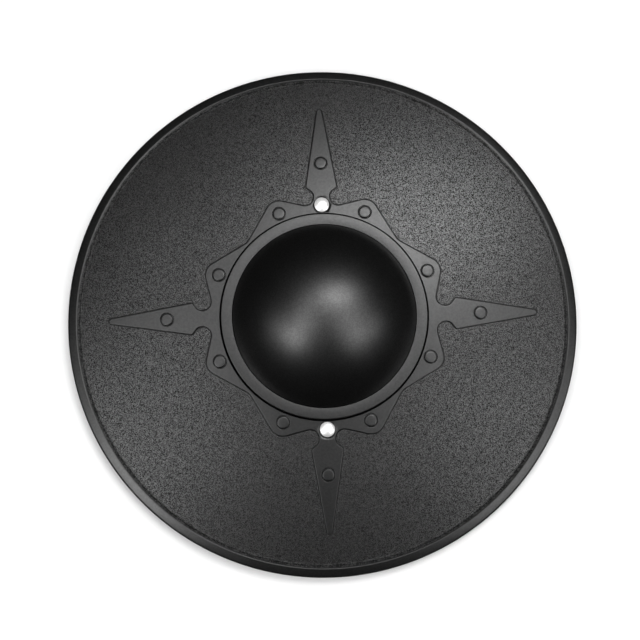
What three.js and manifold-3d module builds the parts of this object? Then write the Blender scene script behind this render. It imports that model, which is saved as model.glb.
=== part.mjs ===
// A targe: a round, lightly dished shield moulded in one piece, with a domed boss in a flat collar,
// a raised star plate with four spear points, and a grip bolted across the back of the boss.
// It lies on its back with the rim down. Millimetres, +Z up, origin under the middle of the rim.

import * as THREE from 'three';
import { mergeVertices } from 'three/addons/utils/BufferGeometryUtils.js';
import Module from 'manifold-3d';

const wasm = await Module();
wasm.setup();

// Shield: the dished field and its rim
const shieldRadius = 254;
const wall = 5;
const fieldEdgeHeight = 15.6;
const dishCurve = 2140; // radius of the sphere that the field is part of
const rimStep = 2; // how far the smooth band stands above the field's edge
const stepRun = 2.2; // how far the step leans outwards
const bandWidth = 7.5; // from the top of the step to the round at the rim's edge
const bandFall = 2.4; // how far the band drops over that width
const rimRound = 2; // round between the band and the outer side
const widestHeight = 12; // height at which the shield is widest
const skirtDraft = 0.8; // how far the outer side leans in on its way down
const rimFoot = 4.4; // width of the flat ring that the shield lies on
const bandOuter = shieldRadius - rimRound;
const bandInner = bandOuter - bandWidth;
const fieldRadius = bandInner - stepRun;

// Boss and collar
const domeRadius = 90;
const domeRise = 62;
const grooveWidth = 1.3; // between the dome and the collar
const grooveDepth = 1.4;
const collarWidth = 10.7;
const collarRise = 5.5; // above the plate
const collarRound = 1.2;
const collarInner = domeRadius + grooveWidth;
const collarRadius = collarInner + collarWidth;

// Star plate: circles that the outline wraps round. A gap is measured outwards from the collar's side.
const plateRise = 1.2;
const spearMargin = 29.8; // between a spear's tip and the edge of the field
const spearTipRound = 2.6;
const barbGap = 28.6; // to the centre of the round at the widest point of a spear
const barbOffset = 14.1;
const barbRound = 1.3;
const notchGap = 17.8; // to the centre of the hollow beside a spear's neck
const notchOffset = 16.6;
const notchRound = 8.9;
const lobeRound = 13.2; // round of the plate about a collar rivet
const valleyGap = 3.8;
const valleyRound = 12;
const spearReach = fieldRadius - spearMargin;

// Moulded rivets on the plate
const rivetRadius = 5.9;
const rivetRise = 1.6;
const collarRivetGap = 9.8; // from the collar's side to the middle of a rivet
const spearRivetGap = 52.9;
const collarRivetCircle = collarRadius + collarRivetGap;
const spearRivetCircle = collarRadius + spearRivetGap;

// Grip, bolted at both ends through the shield
const boltGap = 9; // from the collar's side to the middle of a bolt
const boltCircle = collarRadius + boltGap;
const shankRadius = 3;
const holeClearance = 0.3; // round the shank, and between pieces that rest on each other
const headRadius = 7.4;
const headRise = 4.4;
const headRim = 0.8; // upright edge of the head, below its dome
const seatMargin = 1; // how far a flat seat reaches past the grip's end
const gripEndRadius = 13;
const strapWidth = 20;
const strapThickness = 6;
const barLength = 144;
const barWidth = 30;
const barThickness = 24;
const barEndShare = 0.72; // girth at the bar's ends, of the girth at its middle

// Washers and nuts behind the grip
const washerRadius = 8;
const washerThickness = 1.6;
const nutAcrossFlats = 10;
const nutThickness = 5;
const shankBeyondNut = 1.6;

// Fineness of the round shapes
const shieldSteps = 72;
const smallSteps = 20;
const rivetSteps = 16;

const blackPlastic = { color: 0x1d1d1e, roughness: 0.6, metalness: 0 };
const gripPlastic = { color: 0x161617, roughness: 0.75, metalness: 0 };
const polishedSteel = { color: 0xd6d6d4, roughness: 0.15, metalness: 1 };
const plainSteel = { color: 0xa9abac, roughness: 0.35, metalness: 1 };

// Heights of the dish. A sphere drops by sag(r) from its top to the radius r.
const sag = (r) => dishCurve - Math.sqrt(dishCurve ** 2 - r ** 2);
const fieldHeight = (r) => fieldEdgeHeight + sag(fieldRadius) - sag(r);
const backHeight = (r) => fieldHeight(r) - wall;
const plateHeight = (r) => fieldHeight(r) + plateRise;

const collarTop = plateHeight(collarRadius) + collarRise;
const domeSphere = (domeRadius ** 2 + domeRise ** 2) / (2 * domeRise);
const domeCentre = collarTop + domeRise - domeSphere;

function steps(from, to, count) {
  return Array.from({ length: count + 1 }, (_, i) => from + ((to - from) * i) / count);
}

// Turns a geometry into a solid: shared corners are merged, and triangles without area are left out.
function solidFrom(geometry) {
  const bare = geometry.clone();
  bare.deleteAttribute('normal');
  bare.deleteAttribute('uv');
  const merged = mergeVertices(bare, 1e-4);
  const corners = merged.index.array;
  const kept = [];
  for (let i = 0; i < corners.length; i += 3) {
    const [a, b, c] = corners.slice(i, i + 3);
    if (a !== b && b !== c && c !== a) kept.push(a, b, c);
  }
  const mesh = new wasm.Mesh({
    numProp: 3,
    vertProperties: new Float32Array(merged.attributes.position.array),
    triVerts: new Uint32Array(kept),
  });
  return new wasm.Manifold(mesh);
}

function geometryFrom(solid) {
  const { vertProperties, triVerts } = solid.getMesh();
  const geometry = new THREE.BufferGeometry();
  geometry.setAttribute('position', new THREE.BufferAttribute(vertProperties, 3));
  geometry.setIndex(new THREE.BufferAttribute(triVerts, 1));
  geometry.computeVertexNormals();
  return geometry;
}

// A solid of revolution about +Z. The profile of [radius, height] pairs runs up on its outer side.
function turned(profile, segments) {
  const points = profile.map(([r, z]) => new THREE.Vector2(r, z));
  return solidFrom(new THREE.LatheGeometry(points, segments).rotateX(Math.PI / 2));
}

function disc(radius, bottom, top, x, y, segments = smallSteps) {
  const profile = [[0, bottom], [radius, bottom], [radius, top], [0, top]];
  return turned(profile, segments).translate([x, y, 0]);
}

function named(name, geometry, look) {
  const mesh = new THREE.Mesh(geometry, new THREE.MeshStandardMaterial(look));
  mesh.name = name;
  return mesh;
}

const onCircle = (radius, angle) => [radius * Math.cos(angle), radius * Math.sin(angle)];
const quarterTurns = [0, 1, 2, 3].map((i) => (i * Math.PI) / 2);

// The outer skin from the rim's foot up to the top of the dome, and the back from its top down.
function outerSide() {
  const bandTop = fieldEdgeHeight + rimStep;
  const bandOuterTop = bandTop - bandFall;
  const edge = steps(0, Math.PI / 2, 3).slice(0, -1).map((a) => [
    bandOuter + rimRound * Math.cos(a),
    widestHeight + (bandOuterTop - widestHeight) * Math.sin(a),
  ]);
  const field = steps(fieldRadius, collarRadius, 3).map((r) => [r, fieldHeight(r)]);
  const grooveBottom = collarTop - grooveDepth;
  const domeFoot = Math.acos((grooveBottom - domeCentre) / domeSphere);
  const dome = steps(domeFoot, 0, 8).map((a) => [
    domeSphere * Math.sin(a),
    domeCentre + domeSphere * Math.cos(a),
  ]);
  return [
    [shieldRadius - skirtDraft, 0],
    ...edge,
    [bandOuter, bandOuterTop],
    [bandInner, bandTop],
    ...field,
    [collarRadius, collarTop - collarRound],
    [collarRadius - collarRound, collarTop],
    [collarInner, collarTop],
    [collarInner, grooveBottom],
    ...dome,
  ];
}

function innerSide() {
  const hollowSphere = domeSphere - wall;
  const footInner = shieldRadius - skirtDraft - rimFoot;
  // Where the hollow of the boss meets the back of the dish
  const meetRadius = Math.sqrt(hollowSphere ** 2 - (backHeight(collarRadius) - domeCentre) ** 2);
  const meetAngle = Math.asin(meetRadius / hollowSphere);
  const hollow = steps(0, meetAngle, 6).map((a) => [
    hollowSphere * Math.sin(a),
    domeCentre + hollowSphere * Math.cos(a),
  ]);
  const back = steps(collarRadius, fieldRadius, 3).map((r) => [r, backHeight(r)]);
  return [...hollow, ...back, [footInner, backHeight(fieldRadius) - rimStep], [footInner, 0]];
}

// The outline of the star plate wraps counter-clockwise round circles. A circle with a negative radius
// lies outside the plate, so the outline bends round it the other way. Straight lines join the circles.
function wrappedOutline(circles, arcStep) {
  const joins = circles.map((c, i) => {
    const next = circles[(i + 1) % circles.length];
    const dx = next.x - c.x;
    const dy = next.y - c.y;
    const length = Math.hypot(dx, dy);
    const turn = Math.asin((c.r - next.r) / length);
    return Math.atan2(dy, dx) + turn - Math.PI / 2;
  });
  const outline = [];
  circles.forEach((c, i) => {
    const start = joins[(i + circles.length - 1) % circles.length];
    const whole = 2 * Math.PI;
    const left = (((joins[i] - start) % whole) + whole) % whole;
    const sweep = c.r > 0 ? left : left - whole;
    const count = Math.max(1, Math.round(Math.abs(sweep) / arcStep));
    for (const a of steps(start, start + sweep, count)) {
      outline.push(new THREE.Vector2(c.x + c.r * Math.cos(a), c.y + c.r * Math.sin(a)));
    }
  });
  return outline;
}

function starOutline() {
  const rivetAngle = Math.PI / 8;
  const [lobeX, lobeY] = onCircle(collarRivetCircle, rivetAngle);
  const [valleyX, valleyY] = onCircle(collarRadius + valleyGap + valleyRound, Math.PI / 4);
  // From a spear's tip to the valley, and back up the mirrored side to the next spear
  const side = [
    { x: collarRadius + barbGap, y: barbOffset, r: barbRound },
    { x: collarRadius + notchGap, y: notchOffset, r: -notchRound },
    { x: lobeX, y: lobeY, r: lobeRound },
  ];
  const quarter = [
    { x: spearReach - spearTipRound, y: 0, r: spearTipRound },
    ...side,
    { x: valleyX, y: valleyY, r: -valleyRound },
    ...side.map(({ x, y, r }) => ({ x: y, y: x, r })).reverse(),
  ];
  const circles = quarterTurns.flatMap((a) => quarter.map(({ x, y, r }) => ({
    x: x * Math.cos(a) - y * Math.sin(a),
    y: x * Math.sin(a) + y * Math.cos(a),
    r,
  })));
  return wrappedOutline(circles, Math.PI / 6);
}

// The plate is the star's outline cut through a skin that follows the dish.
function starPlate() {
  const sunk = wall / 4;
  const inner = domeRadius + (collarRadius - domeRadius) / 2;
  const radii = steps(inner, spearReach + 1, 6);
  const skin = turned([
    ...radii.map((r) => [r, fieldHeight(r) - sunk]),
    ...radii.reverse().map((r) => [r, plateHeight(r)]),
    [inner, fieldHeight(inner) - sunk],
  ], shieldSteps);
  const prism = new THREE.ExtrudeGeometry(new THREE.Shape(starOutline()), {
    depth: collarTop,
    bevelEnabled: false,
  });
  return solidFrom(prism).intersect(skin);
}

function mouldedRivets() {
  const rivet = ([x, y]) => {
    const top = plateHeight(Math.hypot(x, y)) + rivetRise;
    return disc(rivetRadius, top - rivetRise - wall / 2, top, x, y, rivetSteps);
  };
  const aboutCollar = quarterTurns.flatMap((a) => [
    onCircle(collarRivetCircle, a + Math.PI / 8),
    onCircle(collarRivetCircle, a + (3 * Math.PI) / 8),
  ]);
  const onSpears = quarterTurns.map((a) => onCircle(spearRivetCircle, a));
  return [...aboutCollar, ...onSpears].map(rivet);
}

// Flat seats above and below the wall make a square landing for each bolt's head and each grip end.
const headSeat = plateHeight(boltCircle - headRadius);
const gripSeat = backHeight(boltCircle + gripEndRadius + seatMargin);
const boltEnds = [['upper', boltCircle], ['lower', -boltCircle]];

function shieldBody() {
  const middle = (headSeat + gripSeat) / 2;
  let body = turned([...innerSide(), ...outerSide()], shieldSteps).add(starPlate());
  for (const rivet of mouldedRivets()) {
    body = body.add(rivet);
  }
  for (const [, y] of boltEnds) {
    body = body.add(disc(headRadius, middle, headSeat, 0, y));
    body = body.add(disc(gripEndRadius + seatMargin, gripSeat, middle, 0, y));
    body = body.subtract(disc(shankRadius + holeClearance, 0, collarTop, 0, y));
  }
  return geometryFrom(body);
}

const gripTop = gripSeat - holeClearance;
const gripBottom = gripTop - strapThickness;

// A flat strap with round ends under the bolts, swelling into an oval bar across the boss.
function grip() {
  const half = strapWidth / 2;
  const shoulder = boltCircle - Math.sqrt(gripEndRadius ** 2 - half ** 2);
  const ends = Math.asin(half / gripEndRadius);
  const outline = new THREE.Shape();
  outline.moveTo(half, -shoulder);
  outline.lineTo(half, shoulder);
  outline.absarc(0, boltCircle, gripEndRadius, ends - Math.PI / 2, 1.5 * Math.PI - ends, false);
  outline.lineTo(-half, -shoulder);
  outline.absarc(0, -boltCircle, gripEndRadius, ends + Math.PI / 2, 2.5 * Math.PI - ends, false);
  const strap = new THREE.ExtrudeGeometry(outline, {
    depth: strapThickness,
    bevelEnabled: false,
    curveSegments: smallSteps / 2,
  });
  strap.translate(0, 0, gripBottom);
  // The bar's girth follows a cosine from its middle to its ends, which are rounded off
  const halfBar = barLength / 2;
  const girth = (t) => barEndShare + (1 - barEndShare) * Math.cos((t * Math.PI) / 2) ** 2;
  const capStart = 1 - barWidth / barLength / 2;
  const rounding = (t) => Math.sqrt(Math.max(0, 1 - (Math.max(0, t - capStart) / (1 - capStart)) ** 2));
  const stations = [-1, -0.985, -0.95, -0.9, -0.75, -0.5, -0.25, 0, 0.25, 0.5, 0.75, 0.9, 0.95, 0.985, 1];
  const profile = stations.map((t) => {
    const along = Math.abs(t);
    return new THREE.Vector2(girth(along) * rounding(along), t * halfBar);
  });
  const bar = new THREE.LatheGeometry(profile, smallSteps);
  bar.scale(barWidth / 2, 1, barThickness / 2);
  bar.translate(0, 0, gripTop - strapThickness / 2);
  let solid = solidFrom(strap).add(solidFrom(bar));
  for (const [, y] of boltEnds) {
    solid = solid.subtract(disc(shankRadius + holeClearance, gripBottom - 1, gripTop + 1, 0, y));
  }
  return geometryFrom(solid);
}

// Hardware, each piece with the clearance to the one above it
const headBottom = headSeat + holeClearance;
const washerTop = gripBottom - holeClearance;
const nutTop = washerTop - washerThickness - holeClearance;
const shankBottom = nutTop - nutThickness - shankBeyondNut;

function bolt() {
  const domeHeight = headRise - headRim;
  const sphere = (headRadius ** 2 + domeHeight ** 2) / (2 * domeHeight);
  const cap = steps(Math.asin(headRadius / sphere), 0, 5).map((a) => [
    sphere * Math.sin(a),
    headBottom + headRise - sphere + sphere * Math.cos(a),
  ]);
  const profile = [
    [0, shankBottom],
    [shankRadius - 0.5, shankBottom],
    [shankRadius, shankBottom + 0.5],
    [shankRadius, headBottom],
    [headRadius, headBottom],
    ...cap,
  ];
  return geometryFrom(turned(profile, smallSteps));
}

function washer() {
  const inner = shankRadius + holeClearance;
  const bottom = washerTop - washerThickness;
  return geometryFrom(turned([
    [inner, washerTop],
    [inner, bottom],
    [washerRadius, bottom],
    [washerRadius, washerTop],
    [inner, washerTop],
  ], smallSteps));
}

function nut() {
  const acrossCorners = nutAcrossFlats / Math.cos(Math.PI / 6);
  const bottom = nutTop - nutThickness;
  const hexagon = new THREE.CylinderGeometry(acrossCorners / 2, acrossCorners / 2, nutThickness, 6);
  hexagon.rotateX(Math.PI / 2).translate(0, 0, bottom + nutThickness / 2);
  // A cone takes the sharp corners off the far end
  const chamfer = (acrossCorners - nutAcrossFlats) / 2;
  const rounded = turned([
    [0, bottom],
    [nutAcrossFlats / 2, bottom],
    [nutAcrossFlats / 2 + chamfer, bottom + chamfer / Math.sqrt(3)],
    [nutAcrossFlats / 2 + chamfer, nutTop],
    [0, nutTop],
  ], smallSteps);
  const hole = disc(shankRadius + holeClearance, bottom - 1, nutTop + 1, 0, 0);
  return geometryFrom(solidFrom(hexagon).intersect(rounded).subtract(hole));
}

const targe = new THREE.Group();
targe.add(named('shield_body', shieldBody(), blackPlastic));
targe.add(named('grip', grip(), gripPlastic));
for (const [end, y] of boltEnds) {
  const hardware = [
    named(`bolt_${end}`, bolt(), polishedSteel),
    named(`washer_${end}`, washer(), plainSteel),
    named(`nut_${end}`, nut(), plainSteel),
  ];
  for (const piece of hardware) {
    piece.position.y = y;
    targe.add(piece);
  }
}

export default targe;
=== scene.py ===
# A black moulded targe with a domed boss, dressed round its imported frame.
# Shapes are worked out in millimetres and written to the meshes in metres.

import math

import bmesh
import bpy
import numpy as np
from mathutils import Matrix, Vector
from mathutils.geometry import delaunay_2d_cdt


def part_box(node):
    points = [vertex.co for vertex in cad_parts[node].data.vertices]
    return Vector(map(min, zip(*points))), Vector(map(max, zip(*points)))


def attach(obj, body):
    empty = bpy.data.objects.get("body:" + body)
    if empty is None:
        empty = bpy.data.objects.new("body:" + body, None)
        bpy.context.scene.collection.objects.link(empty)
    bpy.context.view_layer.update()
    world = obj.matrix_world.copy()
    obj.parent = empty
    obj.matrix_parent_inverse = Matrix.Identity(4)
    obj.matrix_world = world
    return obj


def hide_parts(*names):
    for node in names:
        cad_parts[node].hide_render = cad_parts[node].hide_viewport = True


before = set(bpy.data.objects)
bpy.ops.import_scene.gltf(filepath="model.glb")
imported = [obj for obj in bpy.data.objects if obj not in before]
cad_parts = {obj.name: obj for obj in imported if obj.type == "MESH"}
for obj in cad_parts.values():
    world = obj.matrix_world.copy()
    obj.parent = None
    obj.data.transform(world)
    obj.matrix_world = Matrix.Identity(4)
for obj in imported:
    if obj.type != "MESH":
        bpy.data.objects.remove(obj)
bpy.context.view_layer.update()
toMetres = 0.001
print("frame loaded:", sorted(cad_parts))


def boxOf(node):
    low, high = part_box(node)
    return np.array(low) / toMetres, np.array(high) / toMetres


# Sizes that the frame gives
shieldRadius, _, shieldTop = boxOf("shield_body")[1]
gripTop = boxOf("grip")[1][2]
boltLow, boltHigh = boxOf("bolt_upper")
washerLow, washerHigh = boxOf("washer_upper")
nutLow, nutHigh = boxOf("nut_upper")
boltCircle = (boltLow[1] + boltHigh[1]) / 2  # distance of the bolts from the middle
headRadius = (boltHigh[1] - boltLow[1]) / 2

turns = 360  # points round every circle about the shield's middle


def turned(profile, points=turns, centre=(0.0, 0.0)):
    # Each (radius, height) pair of the profile becomes a closed loop of points about the centre c:
    # x = cx + radius cos a, y = cy + radius sin a, z = height
    profile = np.asarray(profile, float)
    angles = np.linspace(0, 2 * math.pi, points, endpoint=False)
    loops = np.empty((len(profile), len(angles), 3))
    loops[..., 0] = centre[0] + profile[:, :1] * np.cos(angles)
    loops[..., 1] = centre[1] + profile[:, :1] * np.sin(angles)
    loops[..., 2] = profile[:, 1:]
    return loops


def circle(radius):
    return turned([(radius, 0.0)])[0][:, :2]


def fromMiddle(points):
    return np.hypot(points[..., 0], points[..., 1])


def rounded(corners, bends=4):
    # A profile through (radius, height, reach) corners. Each corner between the two ends becomes a
    # blend of its sides, (1-t)^2 start + 2t(1-t) corner + t^2 end, whose ends lie its reach away.
    # The two ends stay where they are.
    places, reaches = np.split(np.asarray(corners, float), [2], axis=1)
    t = np.linspace(0, 1, bends + 1)[:, None]
    path = [places[:1]]
    for before, corner, after, reach in zip(places, places[1:], places[2:], reaches[1:]):
        start = corner + (before - corner) / np.linalg.norm(before - corner) * reach
        end = corner + (after - corner) / np.linalg.norm(after - corner) * reach
        path.append((1 - t) ** 2 * start + 2 * t * (1 - t) * corner + t**2 * end)
    return np.vstack([*path, places[-1:]])


def insideLoops(points, loops):
    # Even-odd rule over all loops: a point is inside where a line to its right crosses an odd number
    # of edges
    crossings = np.zeros(len(points), int)
    for loop in loops:
        ahead = np.roll(loop, -1, axis=0)
        for (x0, y0), (x1, y1) in zip(loop, ahead):
            spans = (points[:, 1] > y0) != (points[:, 1] > y1)
            if spans.any():
                at = x0 + (points[spans, 1] - y0) * (x1 - x0) / (y1 - y0)
                crossings[spans] += points[spans, 0] < at
    return crossings % 2 == 1


sewing = {
    "weld": 1e-6,  # metres within which two points become one
    "clearance": 0.55,  # share of the spacing that a patch's inner points keep from its borders
    "tolerance": 1e-7,  # of the triangulation
}


class Patchwork:
    # Gathers lofts and flat patches, and sews them into one closed mesh
    def __init__(self):
        self.points, self.faces, self.slots, self.count = [], [], [], 0

    def add(self, points, faces, slot):
        self.points.append(points)
        self.faces.extend((np.asarray(faces) + self.count).tolist())
        self.slots.extend([slot] * len(faces))
        self.count += len(points)

    def loft(self, loops, slot, closeStart=False, closeEnd=False):
        # Quads between each loop and the next, and a fan at an end that closes on a point
        rows, columns, _ = loops.shape
        at = np.arange(rows * columns).reshape(rows, columns)
        ahead = np.roll(at, -1, axis=1)
        quads = np.stack([at[:-1], at[1:], ahead[1:], ahead[:-1]], axis=-1).reshape(-1, 4)
        self.add(loops.reshape(-1, 3), quads, slot)
        for wanted, loop in ((closeStart, loops[0]), (closeEnd, loops[-1])):
            if wanted:
                fan = np.vstack([loop, loop.mean(axis=0)])
                i = np.arange(columns)
                spokes = np.stack([i, np.roll(i, -1), np.full(columns, columns)], axis=-1)
                self.add(fan, spokes, slot)

    def patch(self, outer, holes, height, spacing, slot):
        # Triangles between an outer loop and its holes. Inner points lie on a triangular grid, and
        # every height is a function of the distance to the middle.
        loops = [outer, *holes]
        edges, start = [], 0
        for loop in loops:
            i = np.arange(len(loop)) + start
            edges.extend(np.stack([i, np.roll(i, -1)], axis=-1).tolist())
            start += len(loop)
        reach = np.abs(outer).max()
        across = np.arange(-reach, reach, spacing)
        up = np.arange(-reach, reach, spacing * math.sqrt(3) / 2)
        gridX, gridY = np.meshgrid(across, up)
        gridX = gridX + (np.arange(len(up)) % 2)[:, None] * spacing / 2
        grid = np.stack([gridX.ravel(), gridY.ravel()], axis=-1)
        grid = grid[insideLoops(grid, loops)]
        border = np.vstack(loops)
        nearest = np.array([np.min(np.sum((border - point) ** 2, axis=1)) for point in grid])
        grid = grid[nearest > (sewing["clearance"] * spacing) ** 2]
        points = [Vector(point) for point in np.vstack([border, grid]).tolist()]
        made = delaunay_2d_cdt(points, edges, [], 0, sewing["tolerance"])
        flat = np.array([(point.x, point.y) for point in made[0]])
        triangles = np.array(made[2])
        triangles = triangles[insideLoops(flat[triangles].mean(axis=1), loops)]
        self.add(np.column_stack([flat, height(fromMiddle(flat))]), triangles, slot)

    def sewn(self, name, finishes):
        mesh = bpy.data.meshes.new(name)
        mesh.from_pydata(np.vstack(self.points) * toMetres, [], self.faces)
        mesh.polygons.foreach_set("material_index", self.slots)
        work = bmesh.new()
        work.from_mesh(mesh)
        bmesh.ops.remove_doubles(work, verts=work.verts, dist=sewing["weld"])
        bmesh.ops.recalc_face_normals(work, faces=work.faces)
        openEdges = sum(1 for edge in work.edges if len(edge.link_faces) != 2)
        work.to_mesh(mesh)
        work.free()
        mesh.polygons.foreach_set("use_smooth", [True] * len(mesh.polygons))
        for finish in finishes:
            mesh.materials.append(finish)
        thing = bpy.data.objects.new(name, mesh)
        bpy.context.scene.collection.objects.link(thing)
        print(f"{name}: {len(mesh.polygons)} faces, {openEdges} edges not between two faces")
        return thing


dish = {
    "curve": 2140,  # radius of the sphere that the field is part of
    "edge": 241.5,  # where the field ends and the rim's step begins
    "edgeHeight": 15.6,
    "wall": 5,  # thickness of the moulding
    "rimStart": 1.2,  # how far inside the edge the rim's profile starts
    "spacing": 4.5,  # between the points inside the field
    "backSpacing": 6.0,  # between those inside the back
}


def sag(r):
    # How far a sphere falls away at a distance r from its pole: R - sqrt(R^2 - r^2)
    return dish["curve"] - np.sqrt(dish["curve"] ** 2 - np.square(r))


def fieldHeight(r):
    return dish["edgeHeight"] + sag(dish["edge"]) - sag(r)


def plateHeight(r):
    return fieldHeight(r) + plate["rise"]


def backHeight(r):
    # The back is flat from the hollow of the boss out to the collar, then follows the field
    return fieldHeight(np.maximum(r, boss["collar"])) - dish["wall"]


plate = {
    "rise": 1.2,  # of the star's flat top above the field
    "spearReach": 212.5,  # distance of the spears' tips from the middle
    "tipRound": 2.6,
    "barb": (130.6, 14.1, 1.3),  # centre along and beside the spear, and radius
    "notch": (119.8, 16.6, 8.9),
    "lobeRound": 13.2,
    "valley": (105.8, 12.0),  # distance of the outline from the middle, and its radius
    # Offset from the outline and height above the field, in the groove and up the rounded shoulder
    "groove": [(1.15, 0.0), (0.85, 0.0), (0.7, -0.15), (0.56, -0.85), (0.12, -0.9), (0.0, -0.5)],
    "shoulder": [(-0.04, 0.3), (-0.08, 0.8), (-0.18, 1.02), (-0.38, 1.15)],
    "flat": 0.62,  # how far inside the outline the flat top begins
    "netEdge": 1.0,  # how far inside it the triangles of the flat top begin
    "spacing": 2.6,  # between the points inside the flat top
    "arcStep": 0.45,  # length of a piece of the outline, in arcs and in straight stretches
    "lineStep": 2.0,
    "arcLeast": 6,  # fewest pieces in an arc
}


def starCircles():
    # The circles that the star's outline wraps round, as (x, y, radius). One with a negative radius
    # lies outside the plate. Each quarter has a spear's tip, barbs, notches, lobes and a valley.
    lobeAngle = math.pi / 8
    lobe = (
        rivet["collarCircle"] * math.cos(lobeAngle),
        rivet["collarCircle"] * math.sin(lobeAngle),
        plate["lobeRound"],
    )
    valleyRadius, valleyRound = plate["valley"]
    valleyAt = (valleyRadius + valleyRound) / math.sqrt(2)
    notchX, notchY, notchRound = plate["notch"]
    side = [plate["barb"], (notchX, notchY, -notchRound), lobe]
    quarter = [
        (plate["spearReach"] - plate["tipRound"], 0.0, plate["tipRound"]),
        *side,
        (valleyAt, valleyAt, -valleyRound),
        *[(y, x, r) for x, y, r in side[::-1]],
    ]
    circles = []
    for turn in np.arange(4) * math.pi / 2:
        c, s = math.cos(turn), math.sin(turn)
        circles += [(x * c - y * s, x * s + y * c, r) for x, y, r in quarter]
    return circles


def starOutline(offset):
    # The outline runs counter-clockwise, straight between the circles. The offset is added to each
    # signed radius, which moves the whole outline outwards by that much and keeps its points in step.
    # A join is the direction from a circle's middle to the point where the straight stretch begins.
    circles = starCircles()
    joins, lengths = [], []
    for (x, y, r), (nextX, nextY, nextR) in zip(circles, circles[1:] + circles[:1]):
        away = math.hypot(nextX - x, nextY - y)
        joins.append(math.atan2(nextY - y, nextX - x) + math.asin((r - nextR) / away) - math.pi / 2)
        lengths.append(math.sqrt(away**2 - (r - nextR) ** 2))
    outline = []
    for i, (x, y, r) in enumerate(circles):
        sweep = (joins[i] - joins[i - 1]) % (2 * math.pi)
        if r < 0:
            sweep -= 2 * math.pi
        count = max(plate["arcLeast"], round(abs(sweep * r) / plate["arcStep"]))
        angles = np.linspace(joins[i - 1], joins[i - 1] + sweep, count + 1)
        arc = np.column_stack([np.cos(angles), np.sin(angles)]) * (r + offset) + (x, y)
        # The straight stretch starts where the arc ends, and the next arc brings its own first point
        nextX, nextY, nextR = circles[(i + 1) % len(circles)]
        heading = np.array([math.cos(joins[i]), math.sin(joins[i])])
        landing = np.array([nextX, nextY]) + heading * (nextR + offset)
        between = max(1, round(lengths[i] / plate["lineStep"]))
        share = np.linspace(0, 1, between + 1)[1:-1, None]
        outline.extend([arc, arc[-1] * (1 - share) + landing * share])
    return np.vstack(outline)


def plateEdge():
    # The star's outline at each offset of the profile, from the field through the groove and over the
    # shoulder to the plate's flat top: z = field height at the point + the profile's height
    top = [(-plate["flat"], plate["rise"]), (-plate["netEdge"], plate["rise"])]
    loops = []
    for offset, rise in plate["groove"] + plate["shoulder"] + top:
        flat = starOutline(offset)
        loops.append(np.column_stack([flat, fieldHeight(fromMiddle(flat)) + rise]))
    return np.array(loops)


rivet = {
    "radius": 5.9,
    "collarCircle": 111.8,  # distance of the rivets on the lobes from the middle
    "spearCircle": 154.9,
    "points": 56,
    # Distance past the radius and height above the plate: the groove at the foot, the side, the top
    "profile": [
        (1.4, 0.0), (1.1, 0.0), (0.95, -0.15), (0.8, -0.9), (0.2, -0.95), (0.07, -0.5), (0.03, 0.6),
        (-0.08, 1.1), (-0.35, 1.42), (-0.8, 1.55), (-1.7, 1.6), (-3.4, 1.62), (-5.1, 1.62),
    ],
}


def rivetLoops(centre):
    # Rings about the rivet's middle: z = plate height at the point + the profile's height
    profile = np.array(rivet["profile"]) + (rivet["radius"], 0.0)
    loops = turned(profile, rivet["points"], centre)
    loops[..., 2] += plateHeight(fromMiddle(loops))
    return loops


def rivetPlaces():
    # Two lobes to a quarter and one on each spear
    quarters = np.arange(4) * math.pi / 2
    about = np.concatenate([quarters + math.pi / 8, quarters + 3 * math.pi / 8])
    places = [(rivet["collarCircle"] * math.cos(a), rivet["collarCircle"] * math.sin(a)) for a in about]
    places += [(rivet["spearCircle"] * math.cos(a), rivet["spearCircle"] * math.sin(a)) for a in quarters]
    return places


boss = {
    "radius": 90.0,
    "rise": 62.0,  # of the dome's top above the level where its sphere has that radius
    "rings": 40,
    "crowding": 1.15,  # power that draws the rings towards the foot, where the outline is seen
    "collar": 102.0,
    "collarRise": 5.5,
    "collarBevel": (0.4, 0.3),  # width and height of the bevel on its outer edge
    "inset": 0.9,  # the collar's side stands this far inside its nominal radius
    "seam": 1.2,  # how far past that radius the groove at its foot reaches
    "seamDepth": 3.6,
    "seamFloor": 0.25,  # width of that groove's floor
    "seamMargin": 0.15,  # between the seam and the triangles of the plate's flat top
    "groove": 0.5,  # between the collar and the dome
    "grooveDepth": 1.4,
    "mouth": 92.0,  # how far out the flat round the mouth of the hollow reaches
    "mouthRound": 1.0,
    "hollowRings": 20,
    "hollowPole": 0.02,  # angle off the axis of the hollow's innermost ring
}
collarTop = float(plateHeight(boss["collar"])) + boss["collarRise"]
domeSphere = (boss["radius"] ** 2 + boss["rise"] ** 2) / (2 * boss["rise"])
domeCentre = shieldTop - domeSphere


def domeFoot(height):
    # Radius of the dome at a height: sqrt(R^2 - (z - centre)^2)
    return math.sqrt(domeSphere**2 - (height - domeCentre) ** 2)


def collarProfile():
    # From the plate inwards: a groove that narrows downwards, up the collar's outer side, over its
    # flat top, and down into the groove round the dome
    seam = boss["collar"] + boss["seam"]
    outer = seam + boss["seamMargin"]
    seamFloor = float(plateHeight(seam)) - boss["seamDepth"]
    side = boss["collar"] - boss["inset"]
    bevelWidth, bevelHeight = boss["collarBevel"]
    inner = boss["radius"] + boss["groove"]
    grooveFloor = collarTop - boss["grooveDepth"]
    return rounded([
        (outer, float(plateHeight(outer)), 0),
        (seam, float(plateHeight(seam)), 0.1),
        (side + boss["seamFloor"], seamFloor, 0.1),
        (side, seamFloor, 0.1),
        (side, collarTop - bevelHeight, 0.3),
        (side - bevelWidth, collarTop, 0.2),
        (inner, collarTop, 0.2),
        (inner, grooveFloor, 0.15),
        (domeFoot(grooveFloor), grooveFloor, 0),
    ])


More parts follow.
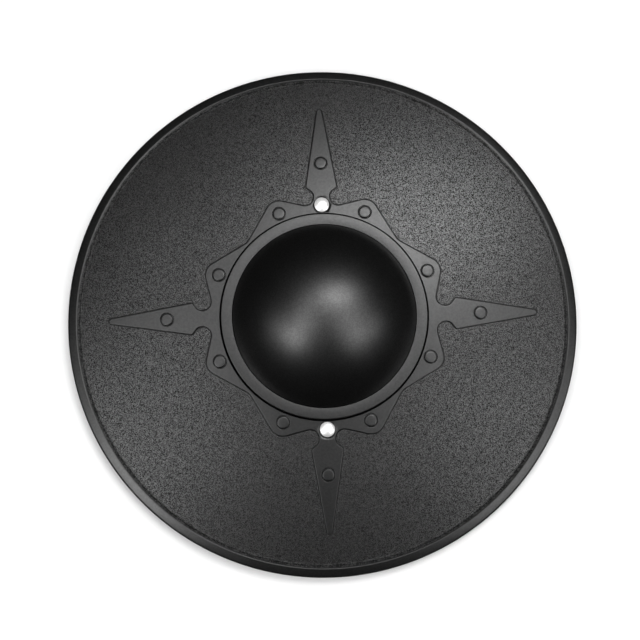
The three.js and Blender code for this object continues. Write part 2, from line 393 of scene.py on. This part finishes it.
def domeProfile():
    # A sphere's arc from the groove up to the ring before the top: R sin a, centre + R cos a
    start = math.acos((collarTop - boss["grooveDepth"] - domeCentre) / domeSphere)
    angles = start * (1 - np.linspace(0, 1, boss["rings"])[:-1] ** boss["crowding"])
    return np.column_stack([domeSphere * np.sin(angles), domeCentre + domeSphere * np.cos(angles)])


def hollowProfile():
    # Down the inside of the dome from its top to where the back of the dish begins, on a sphere that
    # is smaller by the wall
    sphere = domeSphere - dish["wall"]
    flat = float(backHeight(boss["collar"]))
    meet = math.sqrt(sphere**2 - (flat - domeCentre) ** 2)
    angles = np.linspace(boss["hollowPole"], math.asin(meet / sphere), boss["hollowRings"])[:-1]
    curve = np.column_stack([sphere * np.sin(angles), domeCentre + sphere * np.cos(angles)])
    lip = rounded([(*curve[-1], 0), (meet, flat, boss["mouthRound"]), (boss["mouth"], flat, 0)])
    return np.vstack([curve, lip[1:]])


rim = {
    "step": 2.0,
    "groove": (0.8, 0.7),  # width and depth of the groove at the step's foot
    "strip": (1.5, 1.2),  # width and rise of the rough strip that follows it
    "lip": (1.3, 0.45),  # run and rounding of the slope from the strip up to the band
    "bandFall": 1.9,  # from the lip to the bevel
    "bevel": (1.5, 1.8),  # width and height of the bevel that ends the band
    "side": 11.4,  # height of the upright side's lower end
    "draft": 0.8,  # how far the side leans in from there to the foot
    "foot": 4.4,  # width of the flat ring that the shield lies on
    "footRound": 0.6,
    "underRound": 1.5,
    "bends": 4,  # pieces in each rounded corner
}


def rimProfile():
    # Outwards from the field: a groove, the rough strip, the lip, the smooth band, its bevel, the side
    # and the foot, and back in under the field
    start = dish["edge"] - dish["rimStart"]
    low, top = dish["edgeHeight"], dish["edgeHeight"] + rim["step"]
    grooveWidth, grooveDepth = rim["groove"]
    stripWidth, stripRise = rim["strip"]
    lipRun, lipRound = rim["lip"]
    bevelWidth, bevelHeight = rim["bevel"]
    stripStart = dish["edge"] + grooveWidth
    stripEnd = stripStart + stripWidth
    bandEnd = top - rim["bandFall"]
    footOuter = shieldRadius - rim["draft"]
    footInner = footOuter - rim["foot"]
    back = float(backHeight(dish["edge"]))
    return rounded([
        (start, float(fieldHeight(start)), 0),
        (dish["edge"], low, 0.2),
        (dish["edge"] + grooveWidth / 2, low - grooveDepth, 0.2),
        (stripStart, low, 0.15),
        (stripEnd, low + stripRise, 0.5),
        (stripEnd + lipRun, top, lipRound),
        (shieldRadius - bevelWidth, bandEnd, 0.6),
        (shieldRadius, bandEnd - bevelHeight, 0.8),
        (shieldRadius, rim["side"], 0.5),
        (footOuter, 0.0, rim["footRound"]),
        (footInner, 0.0, 0.5),
        (footInner, back - rim["step"], rim["underRound"]),
        (dish["edge"], back, 0),
    ], rim["bends"])


steel = {
    "shank": 3.0,  # radius of the bolts' shanks
    "hole": 3.3,  # radius of the holes for them
    "headHeight": 4.4,
    "points": 72,
}

gap = 0.3  # between pieces that rest on each other

seat = {
    "margin": 0.5,  # of the groove round the head, past the head's radius
    "shift": 0.8,  # the groove's outer edge is moved this far away from the boss
    "under": 0.35,  # how far under the head the groove's floor begins
    "width": 0.7,  # how far under it the floor ends
    "slope": 0.15,  # how far in the groove's inner wall leans
    "depth": 3.0,
    "back": 14.0,  # radius of the flat that the grip's end rests on
    "backSlope": 0.3,  # how far out its side leans
    "points": 56,
}
seatHeight = boltHigh[2] - steel["headHeight"] - gap


def seatLoops(side):
    # From the plate down the groove round a bolt's head, over its seat, down the hole, and out across
    # the flat for the grip's end to the back of the dish
    centre = (0.0, side * boltCircle)
    grooveCentre = (0.0, side * (boltCircle + seat["shift"]))
    grooveFloor = seatHeight - seat["depth"]
    floorEnd = headRadius - seat["width"]
    gripSeat = float(backHeight(boltCircle + seat["back"]))
    front = turned([(headRadius + seat["margin"], 0.0)], seat["points"], grooveCentre)
    front[..., 2] = plateHeight(fromMiddle(front))
    through = turned([
        (headRadius - seat["under"], grooveFloor),
        (floorEnd, grooveFloor),
        (floorEnd - seat["slope"], seatHeight),
        (steel["hole"], seatHeight),
        (steel["hole"], gripSeat),
        (seat["back"], gripSeat),
    ], seat["points"], centre)
    back = turned([(seat["back"] + seat["backSlope"], 0.0)], seat["points"], centre)
    back[..., 2] = backHeight(fromMiddle(back))
    return np.concatenate([front, through, back])


grained, smooth, polished, behind, rough = range(5)  # places of the shield's finishes in its list


def shieldMoulding(finishes):
    # Neighbouring parts of the surface share their border points, so the sewn mesh is closed
    work = Patchwork()
    edge = plateEdge()
    work.patch(
        circle(dish["edge"] - dish["rimStart"]), [edge[0][:, :2]], fieldHeight, dish["spacing"], grained)
    work.loft(edge[:2], grained)
    work.loft(edge[1:], smooth)
    collar = collarProfile()
    work.loft(turned(collar), smooth)
    work.loft(turned(domeProfile()), polished, closeEnd=True)
    profile = rimProfile()
    # The rough part ends halfway round the corner at the strip's end. Before that corner come the
    # first point and three rounded corners.
    stripEnd = 1 + 3 * (rim["bends"] + 1) + rim["bends"] // 2
    work.loft(turned(profile[:stripEnd + 1]), rough)
    work.loft(turned(profile[stripEnd:]), smooth)
    rivets = [rivetLoops(place) for place in rivetPlaces()]
    for loops in rivets:
        work.loft(loops, smooth, closeEnd=True)
    seats = [seatLoops(side) for side in (1, -1)]
    for loops in seats:
        work.loft(loops, smooth)
    frontHoles = [circle(collar[0][0])] + [loops[0][:, :2] for loops in rivets + seats]
    work.patch(edge[-1][:, :2], frontHoles, plateHeight, plate["spacing"], smooth)
    backHoles = [circle(boss["mouth"])] + [loops[-1][:, :2] for loops in seats]
    work.patch(circle(dish["edge"]), backHoles, backHeight, dish["backSpacing"], behind)
    work.loft(turned(hollowProfile()), behind, closeStart=True)
    return work.sewn("shield_moulding", finishes)


class Wire:
    # Wraps a socket, so that an expression on wires adds its Math nodes
    def __init__(self, finish, socket):
        self.finish, self.socket = finish, socket

    def through(self, operation, *values):
        return self.finish.node("Math", {"operation": operation}, dict(enumerate(values)))[0]

    def __add__(self, other):
        return self.through("ADD", self, other)

    def __radd__(self, other):
        return self.through("ADD", other, self)

    def __sub__(self, other):
        return self.through("SUBTRACT", self, other)

    def __rsub__(self, other):
        return self.through("SUBTRACT", other, self)

    def __mul__(self, other):
        return self.through("MULTIPLY", self, other)

    def __rmul__(self, other):
        return self.through("MULTIPLY", other, self)

    def ramp(self, low, high):
        # 0 below low, 1 above high, and straight between
        return self.finish.node(
            "MapRange", {"clamp": True},
            {"Value": self, "From Min": low, "From Max": high, "To Min": 0.0, "To Max": 1.0})[0]


class Finish:
    # One material: node() makes any node from its type, its settings and its sockets' values or links
    def __init__(self, name):
        self.material = bpy.data.materials.new(name)
        self.material.use_nodes = True
        self.tree = self.material.node_tree
        self.shader = self.tree.nodes["Principled BSDF"]
        self.place = self.node("TexCoord", {}, {}, "Object")[0]

    def node(self, kind, settings, sockets, *outputs):
        made = self.tree.nodes.new("ShaderNode" + kind)
        for key, value in settings.items():
            setattr(made, key, value)
        self.feed(made, sockets)
        return [Wire(self, made.outputs[name]) for name in outputs or [0]]

    def feed(self, made, sockets):
        for key, value in sockets.items():
            if isinstance(value, Wire):
                self.tree.links.new(value.socket, made.inputs[key])
            else:
                made.inputs[key].default_value = value

    def surface(self, **sockets):
        self.feed(self.shader, {key.replace("_", " "): value for key, value in sockets.items()})
        return self.material

    def bump(self, height, distance):
        return self.node("Bump", {}, {"Height": height, "Distance": distance * toMetres})[0]

    def pattern(self, kind, settings, size, sockets, *outputs):
        # size is the width of one blot or cell in millimetres
        placed = {"Vector": self.place, "Scale": 1 / (size * toMetres)}
        return self.node(kind, settings, {**placed, **sockets}, *outputs)

    def noise(self, size, detail, roughness=0.5):
        return self.pattern("TexNoise", {}, size, {"Detail": detail, "Roughness": roughness}, "Fac")[0]

    def pebbles(self, size):
        return self.pattern("TexVoronoi", {"feature": "SMOOTH_F1"}, size, {}, "Distance")[0]

    def grains(self, size):
        # Small cells: the distance to each one's middle, and a random number from 0 to 1 for each
        distance, tint = self.pattern("TexVoronoi", {"feature": "F1"}, size, {}, "Distance", "Color")
        return distance, self.node("SeparateColor", {}, {"Color": tint}, "Red")[0]

    def blend(self, share, first, second):
        # A colour between two colours
        return self.node("Mix", {"data_type": "RGBA"}, {0: share, 6: first, 7: second}, 2)[0]


def colour(level, warmth=0.0):
    return (level * (1 + warmth), level, level * (1 - warmth), 1.0)


# In every look, a noise is given as the size of its blots in millimetres, its detail and, where it
# isn't a half, its roughness. The depth of a bump is in millimetres.
grainLook = {
    "grain": 0.55,  # millimetres across one grain
    "dark": 0.0003,
    # The pale grains are the glossier ones: painted sheen on the grain tops, mixed with each grain's random
    # tone
    "pale": 0.013,
    "roughness": 0.27,
    "sheen": 0.3,  # roughness of the grains' glossier tops
    "gloss": 0.15,  # reflection level between the tops
    "depth": 0.14,
}

stepLook = {
    "grain": 1.2,
    "dark": 0.001,
    # The pale grains are the glossier ones: painted sheen on the strip's grain tops, mixed with each
    # grain's random tone
    "pale": 0.018,
    "roughness": 0.55,
    "sheen": 0.5,
    "gloss": 0.2,
    "depth": 0.15,
}

leather = {
    "top": (0.1, 0.75),  # the distances from a grain's middle between which its top falls away
    "topShare": 0.3,  # of the gloss that comes from the tops; the rest is each grain's own
    "gloss": (0.28, 0.74),  # the range that is stretched from dull to glossy
    "creases": (3.0, 0.6),  # detail and roughness of creases half as wide as a grain
    "creaseDepth": 0.8,  # against that of the grains
}


def grainedPlastic(name, look):
    # Leather-like grain: rounded grains whose tops are glossier, each with its own tone. The base colour is
    # paler where a grain is glossier: partly each grain's own random tone, partly painted sheen on the
    # grain tops.
    finish = Finish(name)
    distance, tone = finish.grains(look["grain"])
    creases = finish.noise(look["grain"] / 2, *leather["creases"])
    top = 1 - distance.ramp(*leather["top"])
    gloss = (top * leather["topShare"] + tone * (1 - leather["topShare"])).ramp(*leather["gloss"])
    return finish.surface(
        # Paler on the glossier grains: painted sheen on the grain tops, partly each grain's own random tone
        Base_Color=finish.blend(gloss, colour(look["dark"]), colour(look["pale"])),
        Roughness=look["roughness"],
        Specular_IOR_Level=look["gloss"],
        Coat_Weight=gloss,
        Coat_Roughness=look["sheen"],
        Normal=finish.bump(creases * leather["creaseDepth"] - distance, look["depth"]),
    )


smoothLook = {
    "dark": 0.002,
    "pale": 0.004,
    "roughness": 0.3,
    "slow": (30.0, 2.0),
    "drift": 0.06,  # how much the slow noise adds to the roughness
    "gloss": 0.42,
    "sheen": 0.22,
    "mottle": (2.2, 3.0, 0.6),
    "mottleRange": (0.35, 0.65),
    "tooth": (0.7, 2.0),
    "depth": 0.02,
}


def smoothPlastic():
    # Matte moulded surface: a faint fine tooth, and slow and fine changes of tone and sheen
    finish = Finish("smooth_black_plastic")
    slow = finish.noise(*smoothLook["slow"])
    mottle = finish.noise(*smoothLook["mottle"]).ramp(*smoothLook["mottleRange"])
    return finish.surface(
        Base_Color=finish.blend(mottle, colour(smoothLook["dark"]), colour(smoothLook["pale"])),
        Roughness=smoothLook["roughness"] + smoothLook["drift"] * slow,
        Specular_IOR_Level=smoothLook["gloss"],
        Coat_Weight=smoothLook["sheen"] * mottle,
        Coat_Roughness=smoothLook["roughness"],
        Normal=finish.bump(finish.noise(*smoothLook["tooth"]), smoothLook["depth"]),
    )


domeLook = {
    "tone": 0.0008,
    "roughness": 0.37,
    "slow": (18.0, 3.0),
    "drift": 0.05,
    "gloss": 0.57,
    "sheen": 0.35,
    "grain": 0.8,  # millimetres across one cell of the sparkle
    "sparkle": (0.3, 0.7),
    "tooth": (1.2, 2.0),
    "depth": 0.004,
}


def polishedPlastic():
    # Semi-gloss: hardly any tooth, with a slight unevenness of the polish and a faint fine sparkle
    finish = Finish("polished_black_plastic")
    slow = finish.noise(*domeLook["slow"])
    sparkle = finish.grains(domeLook["grain"])[1].ramp(*domeLook["sparkle"])
    return finish.surface(
        Base_Color=colour(domeLook["tone"]),
        Roughness=domeLook["roughness"] + domeLook["drift"] * slow,
        Specular_IOR_Level=domeLook["gloss"],
        Coat_Weight=domeLook["sheen"] * sparkle,
        Coat_Roughness=domeLook["roughness"],
        Normal=finish.bump(finish.noise(*domeLook["tooth"]), domeLook["depth"]),
    )


backLook = {
    "tone": 0.014,
    "roughness": 0.5,
    "slow": (40.0, 3.0),
    "drift": 0.12,
    "tooth": (1.0, 3.0),
    "depth": 0.04,
}


def backPlastic():
    # Plain moulded back with a fine tooth
    finish = Finish("moulded_back_plastic")
    return finish.surface(
        Base_Color=colour(backLook["tone"]),
        Roughness=backLook["roughness"] + backLook["drift"] * finish.noise(*backLook["slow"]),
        Normal=finish.bump(finish.noise(*backLook["tooth"]), backLook["depth"]),
    )


shield = shieldMoulding([
    grainedPlastic("grained_black_plastic", grainLook),
    smoothPlastic(),
    polishedPlastic(),
    backPlastic(),
    grainedPlastic("rough_black_plastic", stepLook),
])
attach(shield, "root")
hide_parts("shield_body")
print("shield made")


def ready(thing, node):
    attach(thing, "root")
    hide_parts(node)
    return thing


def onEachEnd(make, finish):
    # One piece for each end of the grip
    for end, side in (("upper", 1), ("lower", -1)):
        make(end, (0.0, side * boltCircle), finish)


brightLook = {
    "tone": (0.9, 0.005),  # level and warmth
    # Only part metal: the rest of the pale colour reflects diffusely, a painted reflection that keeps the
    # heads white like steel mirroring the soft boxes
    "metal": 0.65,
    "roughness": 0.3,
    "smear": (3.0, 4.0),
    "drift": 0.16,
    "tooth": (0.6, 2.0),
    "depth": 0.003,
}

dullLook = {
    "tone": (0.45, 0.01),
    "metal": 1.0,
    "roughness": 0.32,
    "smear": (4.0, 4.0),
    "drift": 0.14,
    "tooth": (0.5, 3.0),
    "depth": 0.006,
}


def platedSteel(name, look):
    # Plated steel with smears in its polish. Where it is less than fully metal, its pale colour reflects
    # diffusely: a painted reflection.
    finish = Finish(name)
    return finish.surface(
        Base_Color=colour(*look["tone"]),
        Metallic=look["metal"],
        Roughness=look["roughness"] + look["drift"] * finish.noise(*look["smear"]),
        Normal=finish.bump(finish.noise(*look["tooth"]), look["depth"]),
    )


bolt = {
    "rise": 2.6,  # of the head's dome
    "rings": 22,
    "pole": 0.04,  # angle off the axis of the dome's last ring
    "underRound": 0.25,
    "edgeRound": 0.35,
    "pitch": 1.0,
    "threadDepth": 0.3,
    "threadRings": 110,
    "plain": 6.0,  # the thread ends this far below the grip's upper face
    "runOut": 2.0,  # the length over which it fades
    "point": (0.6, 0.5),  # height and depth of the chamfer at the shank's end
}


def domedBolt(end, centre, finish):
    # A domed head on a threaded shank. The thread's depth is a zigzag of height / pitch - angle / turn.
    work = Patchwork()
    low, high = boltLow[2], boltHigh[2]
    headBottom = seatHeight + gap
    sphere = (headRadius**2 + bolt["rise"] ** 2) / (2 * bolt["rise"])
    angles = np.linspace(math.asin(headRadius / sphere), bolt["pole"], bolt["rings"])
    cap = np.column_stack([sphere * np.sin(angles), high - sphere + sphere * np.cos(angles)])
    skirt = rounded([
        (steel["shank"], headBottom, 0),
        (headRadius, headBottom, bolt["underRound"]),
        (*cap[0], bolt["edgeRound"]),
        (*cap[1], 0),
    ])
    work.loft(turned(np.vstack([skirt, cap[2:]]), steel["points"], centre), 0, closeEnd=True)
    heights = np.linspace(low, headBottom, bolt["threadRings"])
    loops = turned(
        np.column_stack([np.full(len(heights), steel["shank"]), heights]), steel["points"], centre)
    around = np.linspace(0, 1, steel["points"], endpoint=False)
    phase = (heights[:, None] / bolt["pitch"] - around) % 1.0
    depth = bolt["threadDepth"] * np.abs(phase * 2 - 1)
    depth *= np.clip((gripTop - bolt["plain"] - heights) / bolt["runOut"], 0, 1)[:, None]
    pointHeight, pointDepth = bolt["point"]
    depth += pointDepth * np.clip(1 - (heights - low) / pointHeight, 0, 1)[:, None]
    loops[..., :2] = centre + (loops[..., :2] - centre) * (1 - depth / steel["shank"])[..., None]
    work.loft(loops, 0, closeStart=True)
    made = ready(work.sewn(f"domed_bolt_{end}", [finish]), f"bolt_{end}")
    made.visible_glossy = False  # its small bright image would show at the foot of the dome


washer = {
    "holeRound": 0.2,
    "stampedRound": 0.45,
    "topRound": 0.15,
}


def flatWasher(end, centre, finish):
    # A flat ring whose lower outer edge is rounded most, as stamping leaves it
    work = Patchwork()
    outer = (washerHigh[0] - washerLow[0]) / 2
    low, high = washerLow[2], washerHigh[2]
    profile = rounded([
        (steel["hole"], high, 0),
        (steel["hole"], low, washer["holeRound"]),
        (outer, low, washer["stampedRound"]),
        (outer, high, washer["topRound"]),
        (steel["hole"], high, 0),
    ])
    work.loft(turned(profile, steel["points"], centre), 0)
    ready(work.sewn(f"flat_washer_{end}", [finish]), f"washer_{end}")


nut = {
    "across": 10.0,  # over the flats
    "bore": 3.05,  # radius
    "mouth": 3.7,  # radius of the countersink round the bore
    "chamfer": 0.5,  # height of the countersink and of the cut corners
    "flat": 0.1,  # the end's flat stops this far inside the flats
    "shoulder": (0.25, 0.12),  # how far past the flats the cut passes, at this depth
    "sharpAngle": 28,  # edges that are sharper than this in degrees are split
}


def hexNut(end, centre, finish):
    # Every level is a hexagon cut down to a circle: the smaller of the two radii in each direction
    work = Patchwork()
    half = nut["across"] / 2
    low, high = nutLow[2], nutHigh[2]
    angles = np.linspace(0, 2 * math.pi, steel["points"], endpoint=False)
    fromFlat = (angles + math.pi / 6) % (math.pi / 3) - math.pi / 6
    hexagon = half / np.cos(fromFlat)
    past, pastDepth = nut["shoulder"]
    # Reach and distance from the nearer end, from the bore out to the corners
    face = [
        (nut["bore"], nut["chamfer"]),
        (nut["mouth"], 0.0),
        (half - nut["flat"], 0.0),
        (half + past, pastDepth),
        (half / math.cos(math.pi / 6), nut["chamfer"]),
    ]
    levels = [(reach, high - depth) for reach, depth in face]
    levels += [(reach, low + depth) for reach, depth in face[::-1]]
    levels.append(levels[0])
    loops = np.empty((len(levels), len(angles), 3))
    for loop, (reach, height) in zip(loops, levels):
        radius = np.minimum(hexagon, reach)
        loop[:, 0] = centre[0] + radius * np.sin(angles)
        loop[:, 1] = centre[1] + radius * np.cos(angles)
        loop[:, 2] = height
    work.loft(loops, 0)
    made = ready(work.sewn(f"hex_nut_{end}", [finish]), f"nut_{end}")
    edges = made.modifiers.new("edges", "EDGE_SPLIT")
    edges.split_angle = math.radians(nut["sharpAngle"])


onEachEnd(domedBolt, platedSteel("bright_steel", brightLook))
dullSteel = platedSteel("dull_steel", dullLook)
onEachEnd(flatWasher, dullSteel)
onEachEnd(hexNut, dullSteel)
print("bolts, washers and nuts made")

handle = {
    "strap": (20.0, 6.0),  # width and thickness
    "end": 13.0,  # radius of the round ends
    "endRound": 0.8,  # the length over which the ends' thickness is rounded off
    "endShare": 0.7,  # of the thickness that is left at the very end
    "least": 0.01,  # half-width at the very end
    "bar": (144.0, 30.0, 24.0),  # length, width and thickness
    "slim": 0.72,  # girth towards the bar's ends
    "blends": (0.8, 0.6, 0.8),  # between strap and round end, and strap and bar in width and height
    "power": (2.2, 8.2),  # of the section: nearly oval along the bar, nearly square on the straps
    "squareFrom": 0.8,  # share of the bar's half-length at which the section starts to change
    "along": 0.995,  # how near the sections come to the very end, as a share of a quarter turn
    "around": 72,
    "stations": 220,
    "holePoints": 48,
}

gripLook = {
    "tone": 0.012,
    "roughness": 0.5,
    "slow": (14.0, 3.0),
    "drift": 0.14,
    "pebble": 2.2,  # millimetres across one pebble
    "depth": 0.25,
}


def gripPlastic():
    # A finely pebbled hand grip
    finish = Finish("pebbled_black_plastic")
    return finish.surface(
        Base_Color=colour(gripLook["tone"]),
        Roughness=gripLook["roughness"] + gripLook["drift"] * finish.noise(*gripLook["slow"]),
        Normal=finish.bump(finish.pebbles(gripLook["pebble"]), gripLook["depth"]),
    )


def softMax(first, second, blend):
    # The larger of the two, with the corner where they cross rounded: (a + b + sqrt((a-b)^2 + blend^2)) / 2
    return (first + second + np.sqrt((first - second) ** 2 + blend**2)) / 2


def barGrip():
    # Sections across the grip are superellipses: x = w sign(cos a) |cos a|^(2/p), z likewise with h and
    # the sine. Along it, w and h follow the larger of the strap and the oval bar, blended smoothly, and
    # the ends round off in plan.
    barLength, barWidth, barThickness = handle["bar"]
    strapWidth, strapThickness = handle["strap"]
    discBlend, widthBlend, heightBlend = handle["blends"]
    middle = gripTop - barThickness / 2
    ends = boltCircle + handle["end"]
    quarterTurn = math.pi / 2
    stations = ends * np.sin(np.linspace(-quarterTurn, quarterTurn, handle["stations"]) * handle["along"])
    along = np.abs(stations)
    # The bar slims towards its ends and closes in a quarter of an ellipse
    t = np.clip(along / (barLength / 2), 0, 1)
    girth = handle["slim"] + (1 - handle["slim"]) * np.cos(t * quarterTurn) ** 2
    capStart = 1 - barWidth / barLength / 2
    girth *= np.sqrt(np.clip(1 - (np.maximum(0, t - capStart) / (1 - capStart)) ** 2, 0, 1))
    # The strap ends in a disc round each bolt
    disc = np.sqrt(np.maximum(handle["end"] ** 2 - (along - boltCircle) ** 2, handle["least"] ** 2))
    strapHalf = np.where(along > boltCircle, disc, softMax(strapWidth / 2, disc, discBlend))
    halfWidth = softMax(strapHalf, barWidth / 2 * girth, widthBlend)
    last = np.clip((ends - along) / handle["endRound"], 0, 1)
    edge = np.sqrt(last * (2 - last))
    halfHeight = softMax(strapThickness / 2, barThickness / 2 * girth, heightBlend)
    halfHeight = np.minimum(halfHeight, barThickness / 2)
    halfHeight = halfHeight * (handle["endShare"] + (1 - handle["endShare"]) * edge)
    oval, square = handle["power"]
    squareness = np.clip((t - handle["squareFrom"]) / (1 - handle["squareFrom"]), 0, 1)
    share = 2 / (oval + (square - oval) * squareness)[:, None]
    angles = np.linspace(0, 2 * math.pi, handle["around"], endpoint=False)
    cos, sin = np.cos(angles), np.sin(angles)
    loops = np.empty((len(stations), len(angles), 3))
    loops[..., 0] = halfWidth[:, None] * np.sign(cos) * np.abs(cos) ** share
    loops[..., 1] = stations[:, None]
    loops[..., 2] = middle + halfHeight[:, None] * np.sign(sin) * np.abs(sin) ** share
    work = Patchwork()
    work.loft(loops, 0, closeStart=True, closeEnd=True)
    grip = work.sewn("bar_grip", [gripPlastic()])
    drill(grip)
    ready(grip, "grip")


def drill(thing):
    # Cuts the two bolt holes out of a finished mesh
    work = Patchwork()
    for side in (1, -1):
        rod = [(steel["hole"], 0.0), (steel["hole"], seatHeight)]
        loops = turned(rod, handle["holePoints"], (0.0, side * boltCircle))
        work.loft(loops, 0, closeStart=True, closeEnd=True)
    rods = work.sewn("drill", [])
    cut = thing.modifiers.new("bolt holes", "BOOLEAN")
    cut.object = rods
    cut.operation = "DIFFERENCE"
    cut.solver = "EXACT"
    drilled = bpy.data.meshes.new_from_object(thing.evaluated_get(bpy.context.evaluated_depsgraph_get()))
    thing.modifiers.clear()
    thing.data = drilled
    bpy.data.objects.remove(rods)


barGrip()
print("grip made")

studio = {
    "floorHalf": 6.0,  # metres from the middle to each side of the floor, far past the view
    "floorTone": 0.71,
    "floorRoughness": 0.9,
    "world": 0.01,
    "boxSize": 0.5,  # of the soft boxes, in metres
    "distance": 1.5,
}


def addFloor():
    half = studio["floorHalf"]
    mesh = bpy.data.meshes.new("floor")
    corners = [(x * half, y * half, 0) for x, y in ((-1, -1), (1, -1), (1, 1), (-1, 1))]
    mesh.from_pydata(corners, [], [(0, 1, 2, 3)])
    mesh.materials.append(Finish("pale_floor").surface(
        Base_Color=colour(studio["floorTone"]), Roughness=studio["floorRoughness"]))
    floor = bpy.data.objects.new("floor", mesh)
    bpy.context.scene.collection.objects.link(floor)
    floor.visible_glossy = False


# The camera looks down on the shield, a few degrees off its axis
view = {
    "focal": 929.4,  # in pixels of a frame that is 640 wide
    "frame": 640,
    "sensor": 36.0,
    "distance": 0.930,  # metres from the point that the camera turns about
    "lift": 12.0,  # height of that point in millimetres
    "pitch": 6.29,
    "yaw": 1.38,
    "roll": 1.2675,
    "across": 3.99,  # shifts of the frame in millimetres
    "up": 2.39,
}


def addCamera():
    lens = bpy.data.cameras.new("camera")
    lens.sensor_width = view["sensor"]
    lens.lens = view["focal"] / view["frame"] * lens.sensor_width
    camera = bpy.data.objects.new("camera", lens)
    bpy.context.scene.collection.objects.link(camera)
    turn = (
        Matrix.Rotation(math.radians(view["yaw"]), 4, "Y")
        @ Matrix.Rotation(math.radians(-view["pitch"]), 4, "X")
        @ Matrix.Rotation(math.radians(view["roll"]), 4, "Z")
    )
    away = Vector((-view["across"] * toMetres, -view["up"] * toMetres, view["distance"]))
    lift = Matrix.Translation((0, 0, view["lift"] * toMetres))
    camera.matrix_world = lift @ turn.transposed() @ Matrix.Translation(away)
    bpy.context.scene.camera = camera


# Soft boxes: direction round the shield and angle off the vertical in degrees, and power in watts
softBoxes = {
    "overhead": (90, 14, 1.7),
    "inner_upper_right": (60, 21, 4.4),
    "inner_top": (90, 21, 2.2),
    "inner_upper_left": (150, 21, 2.1),
    "inner_lower_left": (210, 21, 1.8),
    "inner_lower_right": (330, 21, 1.5),
    "upper_right": (45, 28, 5.6),
    "left": (195, 28, 2.5),
    "right": (345, 28, 1.8),
    "outer_right": (0, 36, 1.2),
    "outer_upper_right": (36, 36, 1.4),
    "outer_lower_left": (216, 44, 6.8),
    "outer_lower_right": (324, 44, 4.3),
    "far_left": (195, 56, 1.6),
    "far_right": (345, 56, 2.1),
}

# A broad fill from the top that lights the floor and throws the shield's soft shadow downwards
shadowFill = {"azimuth": 95, "tilt": 50, "power": 28.0, "size": 2.6, "distance": 3.0}


def addSoftBox(name, azimuth, tilt, power, size, distance):
    light = bpy.data.lights.new(name, "AREA")
    light.shape = "SQUARE"
    light.size = size
    light.energy = power
    box = bpy.data.objects.new(name, light)
    a, t = math.radians(azimuth), math.radians(tilt)
    place = Vector((math.cos(a) * math.sin(t), math.sin(a) * math.sin(t), math.cos(t))) * distance
    box.matrix_world = Matrix.Translation(place) @ place.to_track_quat("Z", "Y").to_matrix().to_4x4()
    bpy.context.scene.collection.objects.link(box)
    return box


def addWorld():
    world = bpy.data.worlds.new("studio")
    world.use_nodes = True
    background = world.node_tree.nodes["Background"]
    background.inputs["Color"].default_value = (1, 1, 1, 1)
    background.inputs["Strength"].default_value = studio["world"]
    bpy.context.scene.world = world


addFloor()
addCamera()
for name, values in softBoxes.items():
    addSoftBox(name, *values, studio["boxSize"], studio["distance"])
fill = addSoftBox("shadow_fill", **shadowFill)
fill.visible_glossy = False  # it doesn't mirror in the black plastic
addWorld()
bpy.context.scene.view_settings.view_transform = "Standard"
print("stage, camera and lights made")
